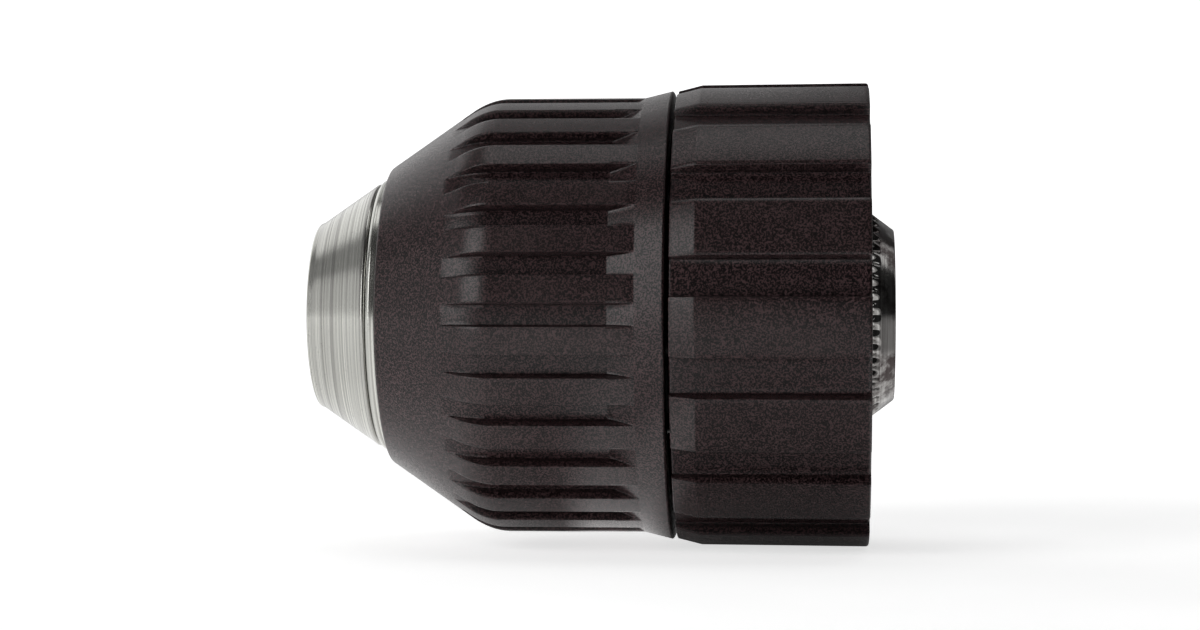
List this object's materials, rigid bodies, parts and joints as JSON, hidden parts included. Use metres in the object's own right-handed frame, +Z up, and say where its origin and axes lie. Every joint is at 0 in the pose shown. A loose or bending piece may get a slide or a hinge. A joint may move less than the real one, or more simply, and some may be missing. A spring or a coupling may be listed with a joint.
{
  "type": "drill chuck",
  "caption": "Keyless drill chuck with ribbed front and rear sleeves, a bright steel nose and self-centring jaws that slide in inclined bores.",
  "frame": {"origin": "on the chuck axis, at the rear seating face that meets the spindle shoulder", "axes": "+X along the chuck axis towards the spindle, so the nose and jaws point along -X; +Z up, with one jaw at the top; the pictured side faces -Y"},
  "size_m": [0.0535, 0.0428, 0.0428],
  "materials": {
    "bright_steel": "turned and polished steel",
    "dark_steel": "hardened, blackened steel",
    "bearing_steel": "ground and polished",
    "cage_brass": "stamped brass",
    "charcoal_plastic": "glass-filled nylon with a fine grain"
  },
  "bodies": {
    "body": {"chuck_body": "bright_steel", "nose_ring": "bright_steel", "rear_sleeve": "charcoal_plastic", "rear_race": "bearing_steel"},
    "sleeve": {"front_sleeve": "charcoal_plastic", "nut_half_a": "dark_steel", "nut_half_b": "dark_steel", "nut_band": "bright_steel", "front_race": "bearing_steel"},
    "bearing": {"ball_cage": "cage_brass", "ball_01": "bearing_steel", "ball_02": "bearing_steel", "ball_03": "bearing_steel", "ball_04": "bearing_steel", "ball_05": "bearing_steel", "ball_06": "bearing_steel", "ball_07": "bearing_steel", "ball_08": "bearing_steel", "ball_09": "bearing_steel", "ball_10": "bearing_steel", "ball_11": "bearing_steel", "ball_12": "bearing_steel"},
    "jaw_a": {"jaw_1": "dark_steel"},
    "jaw_b": {"jaw_2": "dark_steel"},
    "jaw_c": {"jaw_3": "dark_steel"}
  },
  "joints": [
    {"name": "sleeve_spin", "type": "hinge", "parent": "body", "child": "sleeve", "pos_m": [0, 0, 0], "axis": [1, 0, 0], "range_deg": [0, 3539]},
    {"name": "cage_spin", "type": "hinge", "parent": "body", "child": "bearing", "pos_m": [0, 0, 0], "axis": [1, 0, 0], "range_deg": [0, 1770]},
    {"name": "jaw_1_slide", "type": "slide", "parent": "body", "child": "jaw_a", "axis": [-0.9537, 0, -0.3007], "range_m": [0, 0.01547]},
    {"name": "jaw_2_slide", "type": "slide", "parent": "body", "child": "jaw_b", "axis": [-0.9537, -0.2604, 0.1504], "range_m": [0, 0.01547]},
    {"name": "jaw_3_slide", "type": "slide", "parent": "body", "child": "jaw_c", "axis": [-0.9537, 0.2604, 0.1504], "range_m": [0, 0.01547]}
  ],
  "couplings": [
    {"joint": "cage_spin", "follows": "sleeve_spin", "ratio": 0.5},
    {"joint": "jaw_1_slide", "follows": "sleeve_spin", "m_per_rad": 0.00025032},
    {"joint": "jaw_2_slide", "follows": "sleeve_spin", "m_per_rad": 0.00025032},
    {"joint": "jaw_3_slide", "follows": "sleeve_spin", "m_per_rad": 0.00025032}
  ]
}
